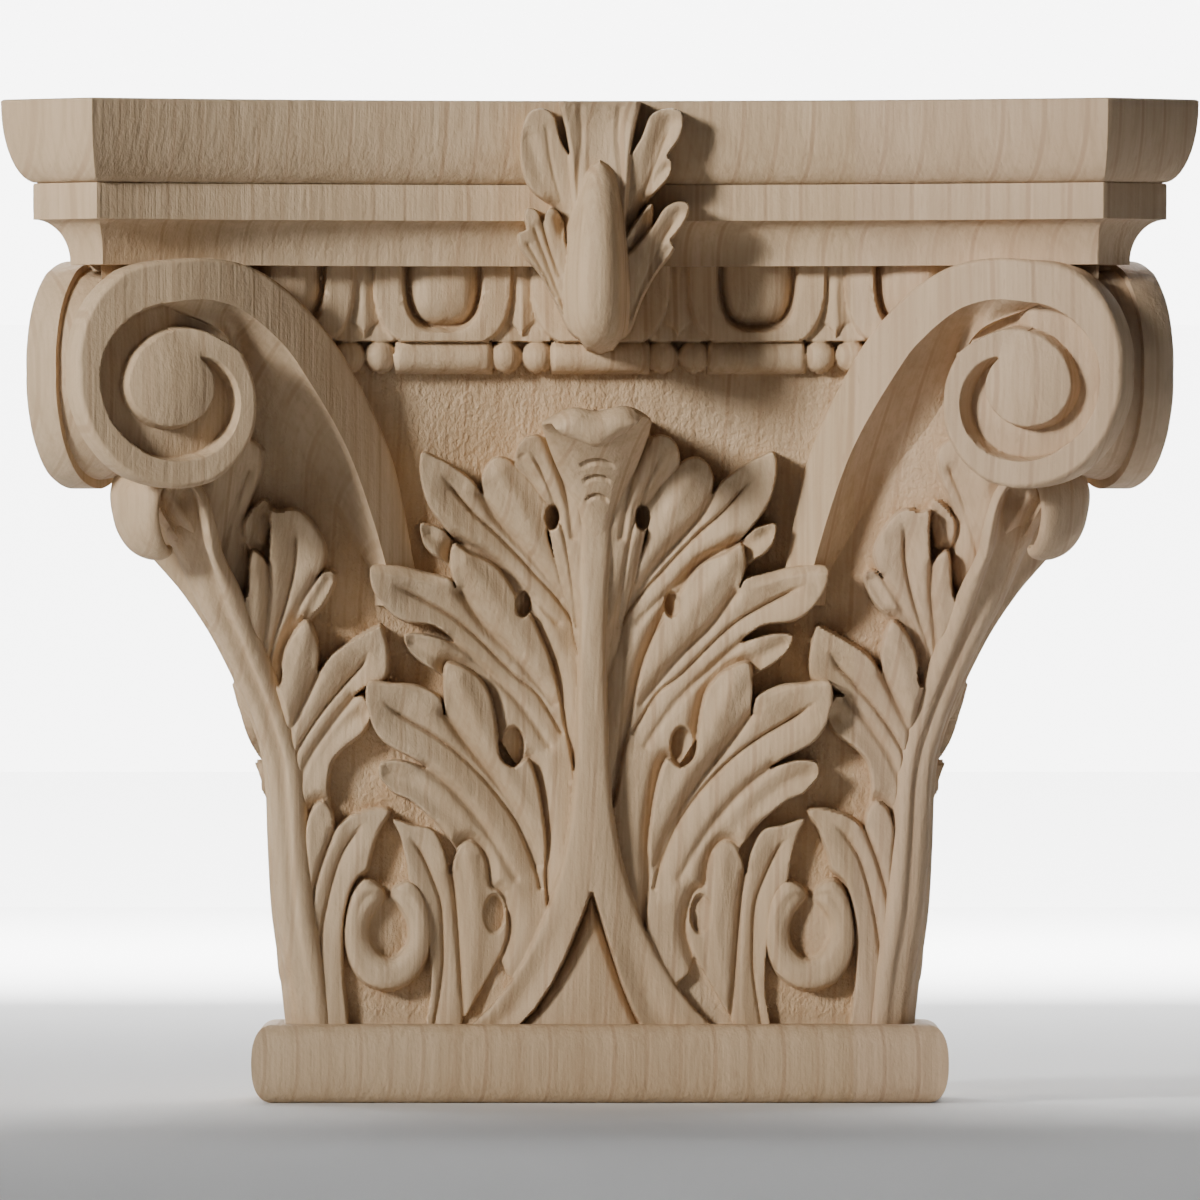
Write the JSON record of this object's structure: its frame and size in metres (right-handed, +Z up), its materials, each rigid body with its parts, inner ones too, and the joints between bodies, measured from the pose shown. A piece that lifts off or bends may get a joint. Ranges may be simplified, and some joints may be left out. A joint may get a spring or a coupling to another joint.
{
  "type": "pilaster capital",
  "caption": "Carved wooden pilaster capital: acanthus leaves on a flaring bell, volutes at the corners, egg and dart, and a hollow-sided abacus; back and underside are flat.",
  "frame": {"origin": "middle of the flat underside, where the capital stands on its pilaster", "axes": "+Z up, +Y into the wall behind the flat back, -Y towards the viewer, +X to the right seen from the front"},
  "size_m": [0.28, 0.1241, 0.235],
  "materials": {
    "maple": "bare, sanded mouldings, tooled carving"
  },
  "bodies": {
    "root": {"capital": "maple"}
  },
  "joints": []
}
